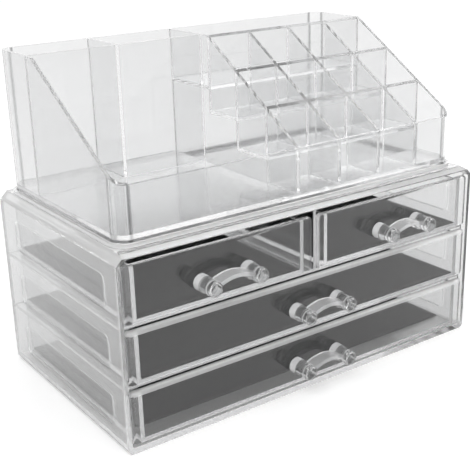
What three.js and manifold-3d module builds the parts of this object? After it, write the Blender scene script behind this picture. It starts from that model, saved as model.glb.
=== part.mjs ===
// Clear makeup organizer: a chest of four drawers with a lift-off divided tray on its roof.
// Millimetres, X to the right, Y to the back, Z up. The origin is under the middle of the whole
// object, the drawer handles included, on the surface that it stands on.

import * as THREE from 'three';
import { mergeVertices } from 'three/addons/utils/BufferGeometryUtils.js';
import Module from 'manifold-3d';

const wasm = await Module();
wasm.setup();

// Shared values
const cutOverrun = 1;
const arcSteps = 8;
const chamferSteps = 1;

// Chest
const chestWidth = 238;
const chestDepth = 136;
const chestHeight = 104.3;
const chestSideWall = 2.2;
const chestBackWall = 2.2;
const chestRoof = 2.1;
const chestBase = 3.6;
const chestBottomRadius = 3;
const chestInnerBottomRadius = 1;
const sideChamfer = 4.6;
const frontChamferDepth = 4;
const frontChamferDrop = 1.1;
const frontSlopeDrop = 0.4;

// Thicker border inside the chest's sides, with a thin window for each row of drawers
const borderThickness = 1;
const windowRadius = 4;
const windowFrontMargin = 11.7;
const windowBackMargin = 14;
const windowLowMargin = 5.3;
const windowHighMargin = 6.2;

// Raised rim on the roof that locates the tray
const rimHeight = 1.9;
const rimWidth = 1.8;
const rimRoot = 1.6;
const rimClearance = 0.4;

// Shelves and the divider between the two top drawers
const shelfThickness = 2;
const dividerThickness = 2;
const dividerSetback = 1;

// Drawers
const rowCount = 3;
const topRow = rowCount - 1;
const topRowGap = 2;
const topFrontGap = 3.3;
const frontThickness = 3;
const frontRadius = 2;
const frontEdgeRound = 1.7;
const frontEdgeSteps = 5;
const frontSideClearance = 0.6;
const frontMiddleClearance = 1.1;
const frontFloorClearance = 0.4;
const frontTopClearance = 0.5;
const frontBackClearance = 0.3;
const boxOverhang = 5;
const boxWall = 2.2;
const boxFloor = 2;
const boxTopDrop = 1.5;
const boxBackClearance = 1.8;
const boxCornerRadius = 4;

// Liner mats
const linerThickness = 1.2;
const linerClearance = 0.5;
const linerBackClearance = 0.8;
const bottomLinerSetback = 10.5;

// Handles
const handlePitch = 28;
const handleReach = 14;
const handleDrop = 2.2;
const collarRadius = 4.6;
const collarLength = 4.8;
const postRadius = 4;
const postRingRadius = 4.4;
const postRingSetback = 2.4;
const postRingLength = 1;
const postEndRound = 0.7;
const postSides = 24;
const webRise = 3.2;
const webBase = 0.4;
const webThickness = 2.2;
const webStart = 4.2;
const webEndSetback = 1.8;
const webRoot = 2;
const webSteps = 12;

// Tray
const traySideSetback = 7.2;
const trayFrontSetback = 9.4;
const trayHeight = 79.9;
const trayFootHeight = 2.7;
const trayBackSetback = 2.6;
const trayWall = 2;
const trayFloor = 2.5;
const trayRaisedFloor = 2;
const trayRadius = 8;
const trayFrontHeight = 29.9;
const traySlopeEndHeight = 30.5;
const tallRoomDepth = 32.4;
const tallRoomWidth = 51;
const middleWallSetback = 2.2;
const columnCount = 4;
const longRoomFloorHeight = 50.7;
const longRoomDepthShare = 0.346;
const rowRoomDepthShares = [0.215, 0.219];
const rowRoomFloorHeights = [36.7, 19.7];

// Places worked out from the sizes above
const wholeDepth = chestDepth + handleReach;
const chestFrontY = handleReach - wholeDepth / 2;
const chestBackY = chestFrontY + chestDepth;
const chestInnerBackY = chestBackY - chestBackWall;
const chestInnerX = chestWidth / 2 - chestSideWall;
const borderInnerX = chestInnerX - borderThickness;
const roofInnerZ = chestHeight - chestRoof;
const rowPitch = (roofInnerZ - chestBase - topRowGap) / rowCount;
const frontHeight = rowPitch - shelfThickness - frontFloorClearance - frontTopClearance;
const windowHeight = frontHeight - windowLowMargin - windowHighMargin;
const innerChamferReach = chestWidth / 2 + chestHeight - sideChamfer - chestSideWall * Math.SQRT2;
const frontBackY = chestFrontY + frontThickness;
const rebateBackY = frontBackY + frontBackClearance;
const frontOuterX = chestInnerX - frontSideClearance;
const frontInnerX = dividerThickness / 2 + frontMiddleClearance;
const boxBackY = chestInnerBackY - boxBackClearance;
const trayWidth = chestWidth - 2 * traySideSetback;
const trayBackY = chestBackY - trayBackSetback;
const trayFrontY = chestFrontY + trayFrontSetback;
const rimInnerX = trayWidth / 2 + rimClearance;
const rimFrontY = trayFrontY - rimClearance - rimWidth;

function rowBottomZ(row) {
  return chestBase + frontFloorClearance + row * rowPitch;
}

function shelfTopZ(row) {
  return rowBottomZ(row) - frontFloorClearance;
}

// The fronts of the top row reach further up than those that close under a shelf
function frontTopZ(row) {
  return row === topRow ? roofInnerZ - topFrontGap : rowBottomZ(row) + frontHeight;
}

// Solids

function toSolid(geometry) {
  geometry.deleteAttribute('normal');
  geometry.deleteAttribute('uv');
  const merged = mergeVertices(geometry);
  const mesh = new wasm.Mesh({
    numProp: 3,
    vertProperties: Float32Array.from(merged.attributes.position.array),
    triVerts: Uint32Array.from(merged.index.array),
  });
  return new wasm.Manifold(mesh);
}

function toGeometry(solid) {
  const mesh = solid.getMesh();
  const geometry = new THREE.BufferGeometry();
  geometry.setAttribute('position', new THREE.BufferAttribute(mesh.vertProperties, 3));
  geometry.setIndex(new THREE.BufferAttribute(mesh.triVerts, 1));
  const flat = geometry.toNonIndexed();
  flat.computeVertexNormals();
  return flat;
}

function block(x0, x1, y0, y1, z0, z1) {
  const geometry = new THREE.BoxGeometry(x1 - x0, y1 - y0, z1 - z0);
  geometry.translate((x0 + x1) / 2, (y0 + y1) / 2, (z0 + z1) / 2);
  return geometry;
}

function solidBlock(x0, x1, y0, y1, z0, z1) {
  return toSolid(block(x0, x1, y0, y1, z0, z1));
}

// A rectangle whose low and high corners have their own radii; one step makes a chamfer
function roundedShape(x0, x1, low, high, lowRadius, highRadius, highSteps = arcSteps) {
  const shape = new THREE.Shape();
  const corners = [
    [x1, low, lowRadius, -Math.PI / 2, arcSteps],
    [x1, high, highRadius, 0, highSteps],
    [x0, high, highRadius, Math.PI / 2, highSteps],
    [x0, low, lowRadius, Math.PI, arcSteps],
  ];
  const points = [];
  for (const [x, y, radius, start, cornerSteps] of corners) {
    const centreX = x === x1 ? x - radius : x + radius;
    const centreY = y === low ? y + radius : y - radius;
    const steps = radius > 0 ? cornerSteps : 0;
    for (let step = 0; step <= steps; step += 1) {
      const angle = start + (Math.PI / 2) * (step / Math.max(steps, 1));
      points.push(new THREE.Vector2(
        centreX + radius * Math.cos(angle),
        centreY + radius * Math.sin(angle),
      ));
    }
  }
  shape.setFromPoints(points);
  return shape;
}

// A shape drawn in X and Z, extruded from the front to the back
function alongY(shape, y0, y1) {
  const geometry = new THREE.ExtrudeGeometry(shape, { depth: y1 - y0, bevelEnabled: false });
  geometry.rotateX(Math.PI / 2);
  geometry.translate(0, y1, 0);
  return geometry;
}

// A shape drawn in X and Y, extruded upwards
function alongZ(shape, z0, z1) {
  const geometry = new THREE.ExtrudeGeometry(shape, { depth: z1 - z0, bevelEnabled: false });
  geometry.translate(0, 0, z0);
  return geometry;
}

// A shape drawn in Y and Z, extruded from left to right
function alongX(points, x0, x1) {
  const shape = new THREE.Shape(points.map(([y, z]) => new THREE.Vector2(y, z)));
  const geometry = new THREE.ExtrudeGeometry(shape, { depth: x1 - x0, bevelEnabled: false });
  geometry.rotateX(Math.PI / 2);
  geometry.rotateZ(Math.PI / 2);
  geometry.translate(x0, 0, 0);
  return geometry;
}

function joined(solids) {
  return solids.reduce((whole, solid) => whole.add(solid));
}

// Materials

function clearPlastic() {
  return new THREE.MeshStandardMaterial({ color: 0xd9dee1, roughness: 0.05, metalness: 0 });
}

function handlePlastic() {
  return new THREE.MeshStandardMaterial({ color: 0xc9cfd3, roughness: 0.05, metalness: 0 });
}

function blackFelt() {
  return new THREE.MeshStandardMaterial({ color: 0x161616, roughness: 0.95, metalness: 0 });
}

function namedMesh(name, geometry, material) {
  const mesh = new THREE.Mesh(geometry, material);
  mesh.name = name;
  return mesh;
}

// Chest

// An opening from the front of the chest, with chamfers that run along those outside
function chestOpening(halfWidth, backY) {
  const shape = roundedShape(
    -halfWidth, halfWidth, chestBase, roofInnerZ,
    chestInnerBottomRadius, halfWidth + roofInnerZ - innerChamferReach, chamferSteps,
  );
  return toSolid(alongY(shape, chestFrontY - cutOverrun, backY));
}

// What is cut off the roof in front of the rim: a gentle slope, then a chamfer along the edge
function frontChamfer() {
  const slopeEndZ = chestHeight - frontSlopeDrop;
  const lowZ = slopeEndZ - frontChamferDrop;
  const highZ = chestHeight + cutOverrun;
  const points = [
    [chestFrontY, lowZ],
    [chestFrontY + frontChamferDepth, slopeEndZ],
    [rimFrontY, chestHeight],
    [rimFrontY, highZ],
    [chestFrontY - cutOverrun, highZ],
    [chestFrontY - cutOverrun, lowZ],
  ];
  return toSolid(alongX(points, -chestWidth / 2 - cutOverrun, chestWidth / 2 + cutOverrun));
}

function chestWindow(side, row) {
  const low = rowBottomZ(row) + windowLowMargin;
  const outline = [];
  const shape = roundedShape(
    rebateBackY + windowFrontMargin, chestInnerBackY - windowBackMargin, low, low + windowHeight,
    windowRadius, windowRadius,
  );
  for (const point of shape.getPoints()) {
    outline.push([point.x, point.y]);
  }
  const inner = side * (borderInnerX - cutOverrun);
  const outer = side * chestInnerX;
  return toSolid(alongX(outline, Math.min(inner, outer), Math.max(inner, outer)));
}

function trayRim() {
  const outerX = rimInnerX + rimWidth;
  const frontY = trayFrontY - rimClearance;
  const backY = trayBackY + rimClearance;
  const innerRadius = trayRadius + rimClearance;
  const outerRadius = innerRadius + rimWidth;
  const outer = roundedShape(
    -outerX, outerX, rimFrontY, backY + rimWidth, outerRadius, outerRadius,
  );
  const inner = roundedShape(-rimInnerX, rimInnerX, frontY, backY, innerRadius, innerRadius);
  const ring = toSolid(alongZ(outer, chestHeight - rimRoot, chestHeight + rimHeight));
  return ring.subtract(toSolid(alongZ(inner, chestHeight, chestHeight + rimHeight + cutOverrun)));
}

function chestShell() {
  const outline = roundedShape(
    -chestWidth / 2, chestWidth / 2, 0, chestHeight,
    chestBottomRadius, sideChamfer, chamferSteps,
  );
  let shell = toSolid(alongY(outline, chestFrontY, chestBackY)).add(trayRim());
  shell = shell.subtract(frontChamfer());
  // The opening is wider at the front, where the drawer fronts close into it
  shell = shell.subtract(chestOpening(borderInnerX, chestInnerBackY));
  shell = shell.subtract(chestOpening(chestInnerX, rebateBackY));
  for (let row = 0; row < rowCount; row += 1) {
    shell = shell.subtract(chestWindow(-1, row)).subtract(chestWindow(1, row));
  }
  return namedMesh('chest_shell', toGeometry(shell), clearPlastic());
}

function shelf(name, row) {
  const top = shelfTopZ(row);
  const geometry = block(
    -borderInnerX, borderInnerX, rebateBackY, chestInnerBackY, top - shelfThickness, top,
  );
  return namedMesh(name, geometry, clearPlastic());
}

function centreDivider() {
  const geometry = block(
    -dividerThickness / 2, dividerThickness / 2,
    chestFrontY + dividerSetback, chestInnerBackY, shelfTopZ(topRow), roofInnerZ,
  );
  return namedMesh('centre_divider', geometry, clearPlastic());
}

// Drawers

// Each drawer's front runs from x0 to x1, and its box is narrower by the overhang at each end
const drawers = [
  { name: 'bottom_drawer', row: 0, x0: -frontOuterX, x1: frontOuterX, linerSetback: bottomLinerSetback },
  { name: 'middle_drawer', row: 1, x0: -frontOuterX, x1: frontOuterX, linerSetback: linerClearance },
  { name: 'left_drawer', row: 2, x0: -frontOuterX, x1: -frontInnerX, linerSetback: linerClearance },
  { name: 'right_drawer', row: 2, x0: frontInnerX, x1: frontOuterX, linerSetback: linerClearance },
];

function drawerFront(drawer) {
  const low = rowBottomZ(drawer.row);
  const high = frontTopZ(drawer.row);
  const shape = roundedShape(drawer.x0, drawer.x1, low, high, frontRadius, frontRadius);
  const geometry = new THREE.ExtrudeGeometry(shape, {
    depth: frontThickness,
    bevelEnabled: true,
    bevelThickness: frontEdgeRound,
    bevelSize: frontEdgeRound,
    bevelOffset: -frontEdgeRound,
    bevelSegments: frontEdgeSteps,
  });
  geometry.rotateX(Math.PI / 2);
  geometry.translate(0, chestFrontY + frontEdgeRound + frontThickness, 0);
  const backCut = solidBlock(
    drawer.x0 - cutOverrun, drawer.x1 + cutOverrun,
    frontBackY, frontBackY + frontThickness + frontEdgeRound + cutOverrun,
    low - cutOverrun, high + cutOverrun,
  );
  const panel = toSolid(geometry).subtract(backCut);
  return namedMesh(`${drawer.name}_front`, toGeometry(panel), clearPlastic());
}

function drawerBox(drawer) {
  const x0 = drawer.x0 + boxOverhang;
  const x1 = drawer.x1 - boxOverhang;
  const low = rowBottomZ(drawer.row);
  const high = frontTopZ(drawer.row) - boxTopDrop;
  const outer = roundedShape(x0, x1, frontBackY, boxBackY, 0, boxCornerRadius);
  const inner = roundedShape(
    x0 + boxWall, x1 - boxWall, frontBackY - cutOverrun, boxBackY - boxWall,
    0, boxCornerRadius - boxWall,
  );
  const solid = toSolid(alongZ(outer, low, high));
  const hollow = toSolid(alongZ(inner, low + boxFloor, high + cutOverrun));
  return namedMesh(`${drawer.name}_box`, toGeometry(solid.subtract(hollow)), clearPlastic());
}

function drawerLiner(drawer) {
  const inset = boxOverhang + boxWall + linerClearance;
  const x0 = drawer.x0 + inset;
  const x1 = drawer.x1 - inset;
  const floorTop = rowBottomZ(drawer.row) + boxFloor;
  const radius = boxCornerRadius - boxWall;
  const shape = roundedShape(
    x0, x1, frontBackY + drawer.linerSetback, boxBackY - boxWall - linerBackClearance, 0, radius,
  );
  const geometry = alongZ(shape, floorTop, floorTop + linerThickness);
  return namedMesh(`${drawer.name}_liner`, geometry, blackFelt());
}

// One post of a handle: a wide collar at the drawer front, a ring near the end and a round rim
function handlePost(x, z) {
  const ringEnd = handleReach - postRingSetback;
  const ringStart = ringEnd - postRingLength;
  const profile = [
    [0, 0],
    [collarRadius, 0],
    [collarRadius, collarLength],
    [postRadius, collarLength],
    [postRadius, ringStart],
    [postRingRadius, ringStart],
    [postRingRadius, ringEnd],
    [postRadius, ringEnd],
    [postRadius, handleReach - postEndRound],
    [postRadius - postEndRound, handleReach],
    [0, handleReach],
  ];
  const points = profile.map(([radius, reach]) => new THREE.Vector2(radius, reach));
  const geometry = new THREE.LatheGeometry(points, postSides);
  geometry.rotateX(Math.PI);
  geometry.translate(x, chestFrontY, z);
  return toSolid(geometry);
}

// The bowed web between the posts, arched upwards
function handleWeb(x, z) {
  const halfSpan = handlePitch / 2 - postRadius + webRoot;
  const upper = [];
  const lower = [];
  for (let step = 0; step <= webSteps; step += 1) {
    const across = (step / webSteps) * 2 - 1;
    const height = z + webBase + webRise * (1 - across * across);
    upper.push(new THREE.Vector2(x + across * halfSpan, height + webThickness / 2));
    lower.push(new THREE.Vector2(x + across * halfSpan, height - webThickness / 2));
  }
  const shape = new THREE.Shape(lower.concat(upper.reverse()));
  const frontY = chestFrontY - handleReach + webEndSetback;
  return toSolid(alongY(shape, frontY, chestFrontY - webStart));
}

function drawerHandle(drawer) {
  const x = (drawer.x0 + drawer.x1) / 2;
  const z = rowBottomZ(drawer.row) + frontHeight / 2 - handleDrop;
  const handle = joined([
    handlePost(x - handlePitch / 2, z),
    handlePost(x + handlePitch / 2, z),
    handleWeb(x, z),
  ]);
  return namedMesh(`${drawer.name}_handle`, toGeometry(handle), handlePlastic());
}

// Tray

const trayTopZ = chestHeight + trayHeight;
const trayFloorHeight = trayFootHeight + trayFloor;
const trayLeftX = -trayWidth / 2 + trayWall;
const trayRightX = trayWidth / 2 - trayWall;
const trayInnerFrontY = trayFrontY + trayWall;
const trayInnerBackY = trayBackY - trayWall;
const wallRightX = -middleWallSetback;
const wallLeftX = wallRightX - trayWall;
const columnWidth = (trayRightX - wallRightX - (columnCount - 1) * trayWall) / columnCount;

// From front to back the right half has the lowest row, the raised rows and the long room
const roomsDepth = trayInnerBackY - trayInnerFrontY - (rowRoomDepthShares.length + 1) * trayWall;
const longFrontY = trayInnerBackY - longRoomDepthShare * roomsDepth;

function trayInside(z0, z1) {
  const radius = trayRadius - trayWall;
  const shape = roundedShape(trayLeftX, trayRightX, trayInnerFrontY, trayInnerBackY, radius, radius);
  return toSolid(alongZ(shape, z0, z1));
}

// A room open at the top, cut down to its floor
function trayRoom(x0, x1, y0, y1, floorHeight) {
  return solidBlock(x0, x1, y0, y1, chestHeight + floorHeight, trayTopZ + cutOverrun);
}

function leftRooms() {
  const tallFrontY = trayInnerBackY - tallRoomDepth;
  const splitX = trayLeftX + tallRoomWidth;
  return [
    trayRoom(trayLeftX, splitX, tallFrontY, trayInnerBackY, trayFloorHeight),
    trayRoom(splitX + trayWall, wallLeftX, tallFrontY, trayInnerBackY, trayFloorHeight),
    trayRoom(trayLeftX, wallLeftX, trayInnerFrontY, tallFrontY - trayWall, trayFloorHeight),
  ];
}

// The steps down from the long room at the back, each with its floor height and its depth
function trayRows() {
  const rows = [{ y0: longFrontY, y1: trayInnerBackY, floorHeight: longRoomFloorHeight }];
  let backY = longFrontY - trayWall;
  for (let index = 0; index < rowRoomDepthShares.length; index += 1) {
    const frontY = backY - rowRoomDepthShares[index] * roomsDepth;
    rows.push({ y0: frontY, y1: backY, floorHeight: rowRoomFloorHeights[index] });
    backY = frontY - trayWall;
  }
  rows.push({ y0: trayInnerFrontY, y1: backY, floorHeight: trayFloorHeight });
  return rows;
}

function rightRooms() {
  const [longRow, ...smallRows] = trayRows();
  const rooms = [trayRoom(wallRightX, trayRightX, longRow.y0, longRow.y1, longRow.floorHeight)];
  for (const row of smallRows) {
    for (let column = 0; column < columnCount; column += 1) {
      const x0 = wallRightX + column * (columnWidth + trayWall);
      rooms.push(trayRoom(x0, x0 + columnWidth, row.y0, row.y1, row.floorHeight));
    }
  }
  return rooms;
}

// The spaces under the floors, open at the bottom of the tray
function underRooms() {
  const raised = trayRows().slice(0, -1);
  const rooms = raised.map((row) => solidBlock(
    wallRightX, trayRightX, row.y0, trayInnerBackY,
    chestHeight - cutOverrun, chestHeight + row.floorHeight - trayRaisedFloor,
  ));
  rooms.push(solidBlock(
    trayLeftX, trayRightX, trayInnerFrontY, trayInnerBackY,
    chestHeight - cutOverrun, chestHeight + trayFootHeight,
  ));
  return rooms;
}

// What is cut off above the sloping tops of the walls and above the low front
function traySlope() {
  const frontTopZ = chestHeight + trayFrontHeight;
  const points = [
    [longFrontY, trayTopZ],
    [longFrontY, trayTopZ + cutOverrun],
    [trayFrontY - cutOverrun, trayTopZ + cutOverrun],
    [trayFrontY - cutOverrun, frontTopZ],
    [trayInnerFrontY, frontTopZ],
    [trayInnerFrontY, chestHeight + traySlopeEndHeight],
  ];
  return toSolid(alongX(points, -trayWidth / 2 - cutOverrun, trayWidth / 2 + cutOverrun));
}

function makeupTray() {
  const outline = roundedShape(
    -trayWidth / 2, trayWidth / 2, trayFrontY, trayBackY, trayRadius, trayRadius,
  );
  const body = toSolid(alongZ(outline, chestHeight, trayTopZ));
  const inside = trayInside(chestHeight - cutOverrun, trayTopZ + cutOverrun);
  const rooms = joined([...leftRooms(), ...rightRooms(), ...underRooms()]).intersect(inside);
  const tray = body.subtract(rooms).subtract(traySlope());
  return namedMesh('makeup_tray', toGeometry(tray), clearPlastic());
}

// Assembly

const organizer = new THREE.Group();
organizer.add(chestShell());
organizer.add(shelf('lower_shelf', 1));
organizer.add(shelf('upper_shelf', 2));
organizer.add(centreDivider());
for (const drawer of drawers) {
  organizer.add(drawerBox(drawer));
  organizer.add(drawerFront(drawer));
  organizer.add(drawerHandle(drawer));
  organizer.add(drawerLiner(drawer));
}
organizer.add(makeupTray());

export default organizer;
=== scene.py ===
"""Looks of a clear makeup organizer: polished edges, clear plastic with painted shade and painted
highlights on some parts, black felt mats and a white studio.
"""

import math

import bmesh
import bpy
from mathutils import Matrix, Vector, noise


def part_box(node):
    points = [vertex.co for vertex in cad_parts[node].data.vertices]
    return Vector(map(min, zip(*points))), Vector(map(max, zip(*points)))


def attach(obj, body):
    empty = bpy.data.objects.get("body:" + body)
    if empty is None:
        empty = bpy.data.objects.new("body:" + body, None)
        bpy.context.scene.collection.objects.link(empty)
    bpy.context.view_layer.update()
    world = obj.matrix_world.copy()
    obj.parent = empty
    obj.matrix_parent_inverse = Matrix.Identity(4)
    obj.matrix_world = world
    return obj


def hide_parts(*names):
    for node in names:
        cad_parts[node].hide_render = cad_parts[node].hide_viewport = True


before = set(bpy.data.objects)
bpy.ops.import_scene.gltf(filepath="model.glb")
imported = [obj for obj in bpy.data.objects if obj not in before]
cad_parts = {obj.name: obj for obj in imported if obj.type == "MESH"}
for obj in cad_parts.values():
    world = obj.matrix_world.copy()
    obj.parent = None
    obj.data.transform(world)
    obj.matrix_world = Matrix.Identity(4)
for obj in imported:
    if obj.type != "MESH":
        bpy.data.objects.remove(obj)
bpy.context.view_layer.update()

MM = 0.001

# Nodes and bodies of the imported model
WIDE_DRAWERS = ("bottom_drawer", "middle_drawer")
TOP_DRAWERS = ("left_drawer", "right_drawer")
DRAWERS = (*WIDE_DRAWERS, *TOP_DRAWERS)
ROW_DRAWERS = (*WIDE_DRAWERS, TOP_DRAWERS[0])
SHEET_NODES = ("lower_shelf", "upper_shelf", "centre_divider")

# Edges and seams of the clear pieces
MERGE_REACH = 0.001 * MM
FLAT_ANGLE = math.radians(1)
SHARP_ANGLE = math.radians(28)
CASE_ROUND = 0.3 * MM
DRAWER_ROUND = 0.25 * MM
SHEET_ROUND = 0.2 * MM
ROUND_SEGMENTS = 2
ROUND_PROFILE = 0.5
SEAM_GAP = 0.03 * MM
PANEL_OVERLAP = 0.5 * MM

# Parts of a handle, by distance from its middle, from its root and from a post's axis
WEB_REACH = 9.5 * MM
COLLAR_REACH = 5 * MM
POST_ASIDE = 14 * MM
RING_RADIUS = 4.15 * MM

# Parts of a drawer's front
LIP_HEIGHT = 2.5 * MM
FRONT_DEPTH = 2.9 * MM

# Parts of the chest and the tray, as heights and as distances from the middle
ROOF_ZONE = (100 * MM, 106 * MM)
LID_LOW = 101.3 * MM
BASE_ROUND_HIGH = 3.2 * MM
OUTER_SIDE = (118.5 * MM, 119.5 * MM)
TRAY_FLOOR_ZONE = (106 * MM, 111 * MM)
TRAY_TOP_LOW = 180 * MM
TRAY_SIDE_LOW = 111 * MM

# Windows in the chest's sides, from a drawer front's lower edge and from the lower shelf's ends
WINDOW_RISE = 5.3 * MM
WINDOW_HEIGHT = 17.8 * MM
WINDOW_FRONT_MARGIN = 11.7 * MM
WINDOW_BACK_MARGIN = 14 * MM

# Limits on the parts of a face's normal, and least areas in square metres
LEVEL_LIMIT = 0.99
UPRIGHT_LIMIT = 0.05
CORNER_LIMITS = (0.03, 0.16)
FLOOR_AREA = 0.0003
BACK_AREA = 0.01

# Clear plastics, several of them with painted shade or painted highlights
PLASTIC_BEND = 1.5
FLOOR_BEND = 1.9
WAVE_SCALE = 22
WAVE_DETAIL = 1
WAVE_STRENGTH = 0.08
WAVE_DEPTH = 0.2 * MM
PLASTICS = {
    "body": {"name": "clear_body_plastic", "tint": (0.89, 0.892, 0.894), "roughness": 0.06},
    # Dark plastic of rounded edges and of drawer fronts' sides: painted shade for dark reflections
    "edge": {"name": "clear_plastic_edge_painted_shade", "tint": (0.3, 0.303, 0.306), "roughness": 0.1},
    # Paler plastic of level floors: a painted reflection, besides its higher bend that really mirrors more
    "floor": {
        "name": "clear_plastic_floor_painted_reflection", "tint": (0.95, 0.952, 0.954), "roughness": 0.08,
        "bend": FLOOR_BEND,
    },
    "handle": {"name": "clear_handle_plastic", "tint": (0.92, 0.922, 0.924), "roughness": 0.03},
    # Darker plastic of the handles' collars: painted shade
    "collar": {
        "name": "clear_handle_collar_painted_shade", "tint": (0.62, 0.623, 0.626), "roughness": 0.14,
        "clearness": 0.88,
    },
    "web": {
        "name": "clear_handle_web", "tint": (0.86, 0.863, 0.866), "roughness": 0.1,
        "clearness": 0.72,
    },
    # Dark plastic of front rims, lower edges and the tray's top edges: painted shade
    "rim": {"name": "clear_plastic_rim_painted_shade", "tint": (0.4, 0.403, 0.406), "roughness": 0.1},
    # Pale, milky plastic of the lid: a painted reflection
    "lid": {
        "name": "clear_plastic_lid_painted_reflection", "tint": (0.97, 0.971, 0.972), "roughness": 0.1,
        "clearness": 0.54,
    },
    # Pale, milky plastic round the windows: painted light
    "border": {
        "name": "clear_plastic_border_painted_light", "tint": (0.96, 0.962, 0.964), "roughness": 0.03,
        "clearness": 0.8,
    },
    # Pale, milky plastic of drawer lips and of handle rings and edges: a painted highlight
    "lip": {
        "name": "clear_plastic_lip_painted_highlight", "tint": (0.93, 0.932, 0.934), "roughness": 0.1,
        "clearness": 0.6,
    },
    # Darker plastic of the tray's outer walls: painted shade
    "wall": {"name": "clear_plastic_wall_painted_shade", "tint": (0.78, 0.782, 0.785), "roughness": 0.08},
    # Dark plastic of the tray's upright corners: painted shade
    "corner": {"name": "clear_plastic_corner_painted_shade", "tint": (0.34, 0.343, 0.346), "roughness": 0.1},
}

# Material slots of every clear piece, of which the first takes the piece's own plastic
PART_PLASTICS = ("edge", "floor", "web", "collar", "rim", "lid", "border", "lip", "corner", "wall")
SLOT = {name: index for index, name in enumerate(PART_PLASTICS, start=1)}
OWN_PLASTICS = {"clear_plastic": "body", "clear_handle": "handle"}

# Black felt
FELT_ROUGHNESS = 0.95
FELT_SHEEN = 0.1
FELT_SHEEN_ROUGHNESS = 0.5
FIBRE_SCALE = 1400
FIBRE_DETAIL = 4
FIBRE_STRENGTH = 0.6
FIBRE_DEPTH = 0.25 * MM
NAP_SCALE = 160
NAP_DETAIL = 3
NAP_SHARE = 0.45
FELT_RAMP = ((0.5, (0.005, 0.005, 0.0055)), (0.95, (0.024, 0.024, 0.025)))

# Felt mats
MAT_CELL = 2.5 * MM
MAT_SAG = 0.25 * MM
MAT_EDGE_DROP = 0.35 * MM
MAT_WAVE_SCALE = 18
MAT_LAYER_SCALE = 90
MAT_TOP_LIMIT = 0.5

# Studio
WHITE = (1, 1, 1, 1)
STUDIO_MIDDLE = (0, 0, 0.09)
WORLD_LEVEL = 0.82
FLOOR_SIZE = (8, 8)
FLOOR_DROP = 0.02 * MM
FLOOR_GREY_SHARE = 0.82
FLOOR_ROUGHNESS = 0.9
FLOOR_GLOW = 0.34
# Share of the floor's glow left under the chest: a painted shadow
PAINTED_SHADOW_SHARE = 0.35
SHADOW_FADE = 6 * MM
KEY_LAMP = {"place": (-0.7, -0.5, 1.1), "size": (0.8, 0.8), "watts": 5}
FILL_LAMP = {"place": (0.9, -0.6, 0.8), "size": (0.7, 0.7), "watts": 2.6}
CARD_PLACE = (0.94, 1.35, 0.72)
CARD_SIZE = (2.4, 1.4)
CARD_GREY_SHARE = 0.6
CARD_GLOW = 1.05
CLEAR_BOUNCES = 128
TRANSPARENT_BOUNCES = 16

# Camera, as fitted to the photograph's straight edges
CAMERA_PLACE = (-0.30483, -0.42406, 0.25871)
CAMERA_YAW = 34.85
CAMERA_DROP = 19.7
CAMERA_ROLL = -1.71
CAMERA_LENS = 72.8
CAMERA_SENSOR = 36
CAMERA_NEAR = 0.01


# Materials

def new_material(name):
    material = bpy.data.materials.new(name)
    material.use_nodes = True
    tree = material.node_tree
    return material, tree, tree.nodes["Principled BSDF"]


def add_noise(tree, scale, detail):
    place = tree.nodes.new("ShaderNodeTexCoord")
    texture = tree.nodes.new("ShaderNodeTexNoise")
    texture.inputs["Scale"].default_value = scale
    texture.inputs["Detail"].default_value = detail
    tree.links.new(place.outputs["Object"], texture.inputs["Vector"])
    return texture.outputs["Fac"]


def add_bump(tree, shader, height, strength, distance):
    bump = tree.nodes.new("ShaderNodeBump")
    bump.inputs["Strength"].default_value = strength
    bump.inputs["Distance"].default_value = distance
    tree.links.new(height, bump.inputs["Height"])
    tree.links.new(bump.outputs["Normal"], shader.inputs["Normal"])


def clear_plastic(name, tint, roughness, bend=PLASTIC_BEND, clearness=1):
    """A plastic with faint waves in its surface, which is milky where its clearness is below 1."""
    material, tree, shader = new_material(name)
    shader.inputs["Base Color"].default_value = (*tint, 1)
    shader.inputs["Roughness"].default_value = roughness
    shader.inputs["IOR"].default_value = bend
    shader.inputs["Transmission Weight"].default_value = clearness
    waves = add_noise(tree, WAVE_SCALE, WAVE_DETAIL)
    add_bump(tree, shader, waves, WAVE_STRENGTH, WAVE_DEPTH)
    return material


def felt_shade(tree, fibres):
    """The felt's colour, which changes with its fibres and more slowly with its nap."""
    nap = tree.nodes.new("ShaderNodeMath")
    nap.operation = "MULTIPLY_ADD"
    nap.inputs[1].default_value = NAP_SHARE
    tree.links.new(add_noise(tree, NAP_SCALE, NAP_DETAIL), nap.inputs[0])
    tree.links.new(fibres, nap.inputs[2])
    ramp = tree.nodes.new("ShaderNodeValToRGB")
    for element, (position, colour) in zip(ramp.color_ramp.elements, FELT_RAMP):
        element.position = position
        element.color = (*colour, 1)
    tree.links.new(nap.outputs[0], ramp.inputs["Fac"])
    return ramp.outputs["Color"]


def black_felt():
    material, tree, shader = new_material("black_felt")
    shader.inputs["Roughness"].default_value = FELT_ROUGHNESS
    shader.inputs["Sheen Weight"].default_value = FELT_SHEEN
    shader.inputs["Sheen Roughness"].default_value = FELT_SHEEN_ROUGHNESS
    fibres = add_noise(tree, FIBRE_SCALE, FIBRE_DETAIL)
    tree.links.new(felt_shade(tree, fibres), shader.inputs["Base Color"])
    add_bump(tree, shader, fibres, FIBRE_STRENGTH, FIBRE_DEPTH)
    return material


plastics = {part: clear_plastic(**look) for part, look in PLASTICS.items()}
felt = black_felt()


# Shapes

def merged_copy(mesh):
    """A CAD node's mesh with the double points of its corners merged."""
    shape = bmesh.new()
    shape.from_mesh(mesh)
    bmesh.ops.remove_doubles(shape, verts=shape.verts, dist=MERGE_REACH)
    return shape


def shape_to_object(shape, name):
    mesh = bpy.data.meshes.new(name)
    shape.to_mesh(mesh)
    shape.free()
    thing = bpy.data.objects.new(name, mesh)
    bpy.context.scene.collection.objects.link(thing)
    return thing


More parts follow.
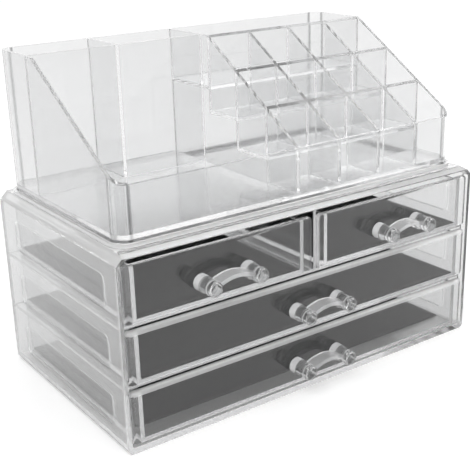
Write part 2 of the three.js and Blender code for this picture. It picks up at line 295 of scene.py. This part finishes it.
def drawer_body(drawer):
    """The drawer's box and its front panel as one moulded shape."""
    panel_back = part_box(f"{drawer}_box")[0].y
    shape = merged_copy(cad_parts[f"{drawer}_box"].data)
    for vert in shape.verts:
        if vert.co.y < panel_back + PANEL_OVERLAP / 2:
            vert.co.y -= PANEL_OVERLAP
    box = shape_to_object(shape, f"{drawer}_box_copy")
    front = merged_copy(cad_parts[f"{drawer}_front"].data)
    panel = shape_to_object(front, f"{drawer}_front_copy")
    union = box.modifiers.new("union", "BOOLEAN")
    union.operation = "UNION"
    union.solver = "MANIFOLD"
    union.object = panel
    depsgraph = bpy.context.evaluated_depsgraph_get()
    mesh = bpy.data.meshes.new_from_object(box.evaluated_get(depsgraph))
    for helper in (box, panel):
        bpy.data.objects.remove(helper)
    return mesh


def cut_faces(shape, faces, place, across):
    """Cuts some of a shape's faces along the plane through a place."""
    edges = {edge for face in faces for edge in face.edges}
    verts = {vert for face in faces for vert in face.verts}
    bmesh.ops.bisect_plane(shape, geom=[*faces, *edges, *verts], plane_co=place, plane_no=across)


def round_edges(shape, edge_round):
    """Rounds the sharp edges and gives the new faces the dark plastic of edges, a painted shade for the
    dark reflections along them.
    """
    sharp = [edge for edge in shape.edges if edge.calc_face_angle(0) > SHARP_ANGLE]
    rounded = bmesh.ops.bevel(
        shape, geom=sharp, offset=edge_round, offset_type="OFFSET", segments=ROUND_SEGMENTS,
        profile=ROUND_PROFILE, affect="EDGES", clamp_overlap=True,
    )
    # The dark edge plastic is painted shade
    for face in rounded["faces"]:
        face.material_index = SLOT["edge"]
    shape.normal_update()


def pull_in(shape):
    """Moves the faces in by the seam gap, so that the piece is just clear of the next one."""
    bmesh.ops.recalc_face_normals(shape, faces=shape.faces)
    shape.normal_update()
    for vert in shape.verts:
        vert.co -= vert.normal * SEAM_GAP


# Parts of the clear pieces that have their own plastic, in most of them a painted shade or a painted
# highlight

def mark_handle(shape):
    """Gives a handle's web, the collars at its roots, and its rings and edges their own plastics: the
    collars a darker painted shade, the rings and edges the pale lip plastic as a painted highlight.
    """
    middle, height = (
        (min(places) + max(places)) / 2
        for places in zip(*((vert.co.x, vert.co.z) for vert in shape.verts))
    )
    root = max(vert.co.y for vert in shape.verts)
    for face in shape.faces:
        centre = face.calc_center_median()
        aside = abs(centre.x - middle)
        if face.material_index == SLOT["edge"]:
            face.material_index = SLOT["lip"]
        elif aside < WEB_REACH:
            face.material_index = SLOT["web"]
        elif centre.y > root - COLLAR_REACH:
            face.material_index = SLOT["collar"]
        elif math.hypot(aside - POST_ASIDE, centre.z - height) > RING_RADIUS:
            face.material_index = SLOT["lip"]


def mark_floors(shape, zone):
    """Gives the wide level faces in a zone of heights the plastic that mirrors more, whose paler tint is a
    painted reflection.
    """
    for face in shape.faces:
        level = abs(face.normal.z) > LEVEL_LIMIT
        in_zone = zone[0] < face.calc_center_median().z < zone[1]
        if level and in_zone and face.calc_area() > FLOOR_AREA:
            face.material_index = SLOT["floor"]


def outer_sides(shape):
    """The faces on the outside of the chest's left and right walls."""
    near, far = OUTER_SIDE
    return [
        face for face in shape.faces
        if abs(face.normal.x) > LEVEL_LIMIT and near < abs(face.calc_center_median().x) < far
    ]


def mark_borders(shape):
    """Gives the thick borders round the windows in the chest's sides their own pale, milky plastic, which
    is painted light.
    """
    low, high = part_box("lower_shelf")
    front = low.y + WINDOW_FRONT_MARGIN
    back = high.y - WINDOW_BACK_MARGIN
    sills = [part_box(f"{drawer}_front")[0].z + WINDOW_RISE for drawer in ROW_DRAWERS]
    for sill in sills:
        for height in (sill, sill + WINDOW_HEIGHT):
            cut_faces(shape, outer_sides(shape), (0, 0, height), (0, 0, 1))
    for depth in (front, back):
        cut_faces(shape, outer_sides(shape), (0, depth, 0), (0, 1, 0))
    for face in outer_sides(shape):
        centre = face.calc_center_median()
        in_row = any(sill < centre.z < sill + WINDOW_HEIGHT for sill in sills)
        if not (in_row and front < centre.y < back):
            face.material_index = SLOT["border"]


def is_base_round(face):
    """Whether a face near the chest's underside is neither level nor turned to the front or back."""
    low = face.calc_center_median().z < BASE_ROUND_HIGH
    return low and abs(face.normal.z) < LEVEL_LIMIT and abs(face.normal.y) < LEVEL_LIMIT


def mark_shell(shape):
    """Gives the chest's floors, window borders, front rim, lower edges and lid their own plastics: painted
    shade on the front rim and lower edges, painted light on the borders, and a painted reflection on the
    floors and lid.
    """
    mark_floors(shape, ROOF_ZONE)
    mark_borders(shape)
    for face in shape.faces:
        if face.material_index == SLOT["edge"]:
            continue
        in_lid = face.calc_center_median().z > LID_LOW
        if in_lid and face.material_index != SLOT["floor"]:
            # Pale lid plastic: a painted reflection
            face.material_index = SLOT["lid"]
        elif face.normal.y < -LEVEL_LIMIT or is_base_round(face):
            # Dark rim plastic: painted shade
            face.material_index = SLOT["rim"]


def is_tray_corner(face):
    """Whether a face is at the end of one of the rounded upright corners of the tray."""
    low, high = CORNER_LIMITS
    slant = min(abs(face.normal.x), abs(face.normal.y))
    return abs(face.normal.z) < UPRIGHT_LIMIT and low < slant < high


def mark_tray(shape):
    """Gives the tray's floor, outer walls, top edges and upright corners their own plastics: a painted
    reflection on the floor, and painted shade on the outer walls, top edges and upright corners.
    """
    mark_floors(shape, TRAY_FLOOR_ZONE)
    for face in shape.faces:
        centre = face.calc_center_median()
        outer_side = abs(face.normal.x) > LEVEL_LIMIT and abs(centre.x) > TRAY_SIDE_LOW
        outer_back = face.normal.y > LEVEL_LIMIT and face.calc_area() > BACK_AREA
        if outer_side or outer_back:
            face.material_index = SLOT["wall"]
        elif face.normal.z > LEVEL_LIMIT and centre.z > TRAY_TOP_LOW:
            face.material_index = SLOT["rim"]
        # Dark corner plastic: painted shade
        if is_tray_corner(face) and face.material_index != SLOT["edge"]:
            face.material_index = SLOT["corner"]


def mark_front_sides(shape):
    """Gives the narrow sides of a drawer's front the dark plastic of its edges, a painted shade."""
    front = min(vert.co.y for vert in shape.verts)
    for face in shape.faces:
        in_front = face.calc_center_median().y < front + FRONT_DEPTH
        if in_front and abs(face.normal.x) > LEVEL_LIMIT:
            face.material_index = SLOT["edge"]


def mark_lipped_drawer(shape):
    """Gives the lip along the top of a wide drawer's front its own pale, milky plastic, a painted
    highlight, besides its sides.
    """
    mark_front_sides(shape)
    lip_low = max(vert.co.z for vert in shape.verts) - LIP_HEIGHT
    faces = [face for face in shape.faces if face.normal.y < -LEVEL_LIMIT]
    cut_faces(shape, faces, (0, 0, lip_low), (0, 0, 1))
    front = min(vert.co.y for vert in shape.verts)
    for face in shape.faces:
        centre = face.calc_center_median()
        in_lip = centre.z > lip_low and centre.y < front + FRONT_DEPTH
        if in_lip and face.material_index != SLOT["edge"]:
            face.material_index = SLOT["lip"]


# Clear pieces

def clear_piece(name, source, nodes, body, edge_round, mark=None, slot="clear_plastic"):
    """A finer copy of a CAD mesh, with its edges rounded and its faces just clear of the next piece."""
    shape = merged_copy(source)
    bmesh.ops.dissolve_limit(
        shape, angle_limit=FLAT_ANGLE, verts=shape.verts, edges=shape.edges,
    )
    round_edges(shape, edge_round)
    if mark:
        mark(shape)
    pull_in(shape)
    for face in shape.faces:
        face.smooth = True
    piece = shape_to_object(shape, f"{name}_clear")
    for part in (OWN_PLASTICS[slot], *PART_PLASTICS):
        piece.data.materials.append(plastics[part])
    piece.modifiers.new("flat_faces", "WEIGHTED_NORMAL")
    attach(piece, body)
    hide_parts(*nodes)


def clear_node(node, body, edge_round, mark=None, slot="clear_plastic"):
    clear_piece(node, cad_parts[node].data, [node], body, edge_round, mark, slot)


clear_node("chest_shell", "chest", CASE_ROUND, mark_shell)
for node in SHEET_NODES:
    clear_node(node, "chest", SHEET_ROUND)
clear_node("makeup_tray", "tray", CASE_ROUND, mark_tray)
for drawer in DRAWERS:
    clear_piece(
        f"{drawer}_body", drawer_body(drawer), [f"{drawer}_box", f"{drawer}_front"], drawer,
        DRAWER_ROUND, mark_lipped_drawer if drawer in WIDE_DRAWERS else mark_front_sides,
    )
    clear_node(f"{drawer}_handle", drawer, DRAWER_ROUND, mark_handle, "clear_handle")


# Felt mats

def mat_top(low, high, across, along):
    """The top of a mat as a grid of faces, a little wavy, and lower along its border."""
    shape = bmesh.new()
    rows = []
    for j in range(along + 1):
        row = []
        for i in range(across + 1):
            x = low.x + (high.x - low.x) * i / across
            y = low.y + (high.y - low.y) * j / along
            spot = Vector((x * MAT_WAVE_SCALE, y * MAT_WAVE_SCALE, low.z * MAT_LAYER_SCALE))
            sag = MAT_SAG * (1 + noise.noise(spot)) / 2
            at_border = i in (0, across) or j in (0, along)
            top = high.z - sag - (MAT_EDGE_DROP if at_border else 0)
            row.append(shape.verts.new((x, y, top)))
        rows.append(row)
    for near, far in zip(rows, rows[1:]):
        for i in range(across):
            shape.faces.new((near[i], near[i + 1], far[i + 1], far[i]))
    return shape


def felt_mat(drawer):
    """A sheet of felt that lies on the drawer's floor, a little wavy as it's only laid in."""
    node = f"{drawer}_liner"
    low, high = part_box(node)
    width, length = high.x - low.x, high.y - low.y
    shape = mat_top(low, high, round(width / MAT_CELL), round(length / MAT_CELL))
    skirt = bmesh.ops.extrude_face_region(shape, geom=list(shape.faces))
    for item in skirt["geom"]:
        if isinstance(item, bmesh.types.BMVert):
            item.co.z = low.z
    bmesh.ops.recalc_face_normals(shape, faces=shape.faces)
    for face in shape.faces:
        face.smooth = abs(face.normal.z) > MAT_TOP_LIMIT
    piece = shape_to_object(shape, f"{drawer}_mat")
    piece.data.materials.append(felt)
    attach(piece, drawer)
    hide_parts(node)


for drawer in DRAWERS:
    felt_mat(drawer)


# Studio

def camera_rays(tree):
    """1 for the camera's rays, also by way of mirrors and glass, and 0 for rays that light things."""
    path = tree.nodes.new("ShaderNodeLightPath")
    first = tree.nodes.new("ShaderNodeMath")
    second = tree.nodes.new("ShaderNodeMath")
    first.operation = "ADD"
    second.operation = "ADD"
    second.use_clamp = True
    tree.links.new(path.outputs["Is Camera Ray"], first.inputs[0])
    tree.links.new(path.outputs["Is Glossy Ray"], first.inputs[1])
    tree.links.new(first.outputs[0], second.inputs[0])
    tree.links.new(path.outputs["Is Transmission Ray"], second.inputs[1])
    return second.outputs[0]


def make_world():
    """A world that shows as white and lights the object a little less than that."""
    world = bpy.data.worlds.new("studio")
    world.use_nodes = True
    tree = world.node_tree
    background = tree.nodes["Background"]
    background.inputs["Color"].default_value = WHITE
    level = tree.nodes.new("ShaderNodeMapRange")
    level.inputs["To Min"].default_value = WORLD_LEVEL
    level.inputs["To Max"].default_value = 1
    tree.links.new(camera_rays(tree), level.inputs["Value"])
    tree.links.new(level.outputs["Result"], background.inputs["Strength"])
    bpy.context.scene.world = world


def within(tree, place, low, high):
    """1 where a place along one axis is between two ends, fading to 0 at them."""
    centred = tree.nodes.new("ShaderNodeMath")
    centred.operation = "SUBTRACT"
    centred.inputs[1].default_value = (low + high) / 2
    tree.links.new(place, centred.inputs[0])
    distance = tree.nodes.new("ShaderNodeMath")
    distance.operation = "ABSOLUTE"
    tree.links.new(centred.outputs[0], distance.inputs[0])
    half_size = (high - low) / 2
    fade = tree.nodes.new("ShaderNodeMapRange")
    fade.inputs["From Min"].default_value = half_size - SHADOW_FADE
    fade.inputs["From Max"].default_value = half_size
    fade.inputs["To Min"].default_value = 1
    fade.inputs["To Max"].default_value = 0
    tree.links.new(distance.outputs[0], fade.inputs["Value"])
    return fade.outputs["Result"]


def painted_shadow_footprint(tree):
    """1 under the chest, where the floor's glow is lowered as a painted contact shadow, and 0 outside it.
    """
    place = tree.nodes.new("ShaderNodeTexCoord")
    split = tree.nodes.new("ShaderNodeSeparateXYZ")
    tree.links.new(place.outputs["Object"], split.inputs["Vector"])
    inside = tree.nodes.new("ShaderNodeMath")
    inside.operation = "MULTIPLY"
    low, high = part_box("chest_shell")
    for index, axis in enumerate(("X", "Y")):
        share = within(tree, split.outputs[axis], low[index], high[index])
        tree.links.new(share, inside.inputs[index])
    return inside.outputs[0]


def stage_sheet(name, size, material_name, grey_share, roughness):
    """A flat sheet of one matte grey that belongs to the studio, with its shader."""
    half_width, half_length = (side / 2 for side in size)
    corners = [
        (-half_width, -half_length, 0), (half_width, -half_length, 0),
        (half_width, half_length, 0), (-half_width, half_length, 0),
    ]
    mesh = bpy.data.meshes.new(name)
    mesh.from_pydata(corners, [], [(0, 1, 2, 3)])
    sheet = bpy.data.objects.new(name, mesh)
    bpy.context.scene.collection.objects.link(sheet)
    material, tree, shader = new_material(material_name)
    shader.inputs["Base Color"].default_value = (grey_share, grey_share, grey_share, 1)
    shader.inputs["Roughness"].default_value = roughness
    shader.inputs["Specular IOR Level"].default_value = 0
    shader.inputs["Emission Color"].default_value = WHITE
    mesh.materials.append(material)
    return sheet, tree, shader


def make_floor():
    """A white floor that glows only for the camera's rays, and less under the chest, where that is a
    painted shadow.
    """
    floor, tree, shader = stage_sheet(
        "floor", FLOOR_SIZE, "white_floor", FLOOR_GREY_SHARE, FLOOR_ROUGHNESS,
    )
    floor.location.z = -FLOOR_DROP
    level = tree.nodes.new("ShaderNodeMapRange")
    level.inputs["To Min"].default_value = FLOOR_GLOW
    level.inputs["To Max"].default_value = FLOOR_GLOW * PAINTED_SHADOW_SHARE
    # Lower glow under the chest: a painted shadow
    tree.links.new(painted_shadow_footprint(tree), level.inputs["Value"])
    glow = tree.nodes.new("ShaderNodeMath")
    glow.operation = "MULTIPLY"
    tree.links.new(camera_rays(tree), glow.inputs[0])
    tree.links.new(level.outputs["Result"], glow.inputs[1])
    tree.links.new(glow.outputs[0], shader.inputs["Emission Strength"])


def aim_at_middle(thing, place, axis):
    """Puts a thing in its place and turns one of its axes to the middle of the object."""
    thing.location = place
    aim = Vector(STUDIO_MIDDLE) - Vector(place)
    thing.rotation_euler = aim.to_track_quat(axis, "Y").to_euler()


def add_lamp(name, place, size, watts):
    lamp = bpy.data.lights.new(name, "AREA")
    lamp.shape = "RECTANGLE"
    lamp.size, lamp.size_y = size
    lamp.energy = watts
    holder = bpy.data.objects.new(name, lamp)
    aim_at_middle(holder, place, "-Z")
    bpy.context.scene.collection.objects.link(holder)


def add_backdrop():
    """A pale card behind the object, out of view, for clear plastic to mirror and show."""
    card, _, shader = stage_sheet("backdrop", CARD_SIZE, "backdrop_grey", CARD_GREY_SHARE, 1)
    aim_at_middle(card, CARD_PLACE, "Z")
    shader.inputs["Emission Strength"].default_value = CARD_GLOW
    card.visible_camera = False
    card.visible_diffuse = False
    card.visible_shadow = False


def make_camera():
    yaw, drop, roll = (math.radians(turn) for turn in (CAMERA_YAW, CAMERA_DROP, CAMERA_ROLL))
    ahead = Vector((math.sin(yaw) * math.cos(drop), math.cos(yaw) * math.cos(drop), -math.sin(drop)))
    right = Vector((math.cos(yaw), -math.sin(yaw), 0))
    up = right.cross(ahead)
    right_rolled = right * math.cos(roll) + up * math.sin(roll)
    up_rolled = up * math.cos(roll) - right * math.sin(roll)
    data = bpy.data.cameras.new("camera")
    data.sensor_width = CAMERA_SENSOR
    data.lens = CAMERA_LENS
    data.clip_start = CAMERA_NEAR
    camera = bpy.data.objects.new("camera", data)
    axes = Matrix((right_rolled, up_rolled, -ahead)).transposed()
    camera.matrix_world = Matrix.Translation(CAMERA_PLACE) @ axes.to_4x4()
    bpy.context.scene.collection.objects.link(camera)
    bpy.context.scene.camera = camera


make_camera()
make_world()
make_floor()
add_lamp("key", **KEY_LAMP)
add_lamp("fill", **FILL_LAMP)
add_backdrop()

scene = bpy.context.scene
scene.view_settings.view_transform = "Standard"
scene.cycles.max_bounces = CLEAR_BOUNCES
scene.cycles.transmission_bounces = CLEAR_BOUNCES
scene.cycles.glossy_bounces = CLEAR_BOUNCES
scene.cycles.transparent_max_bounces = TRANSPARENT_BOUNCES
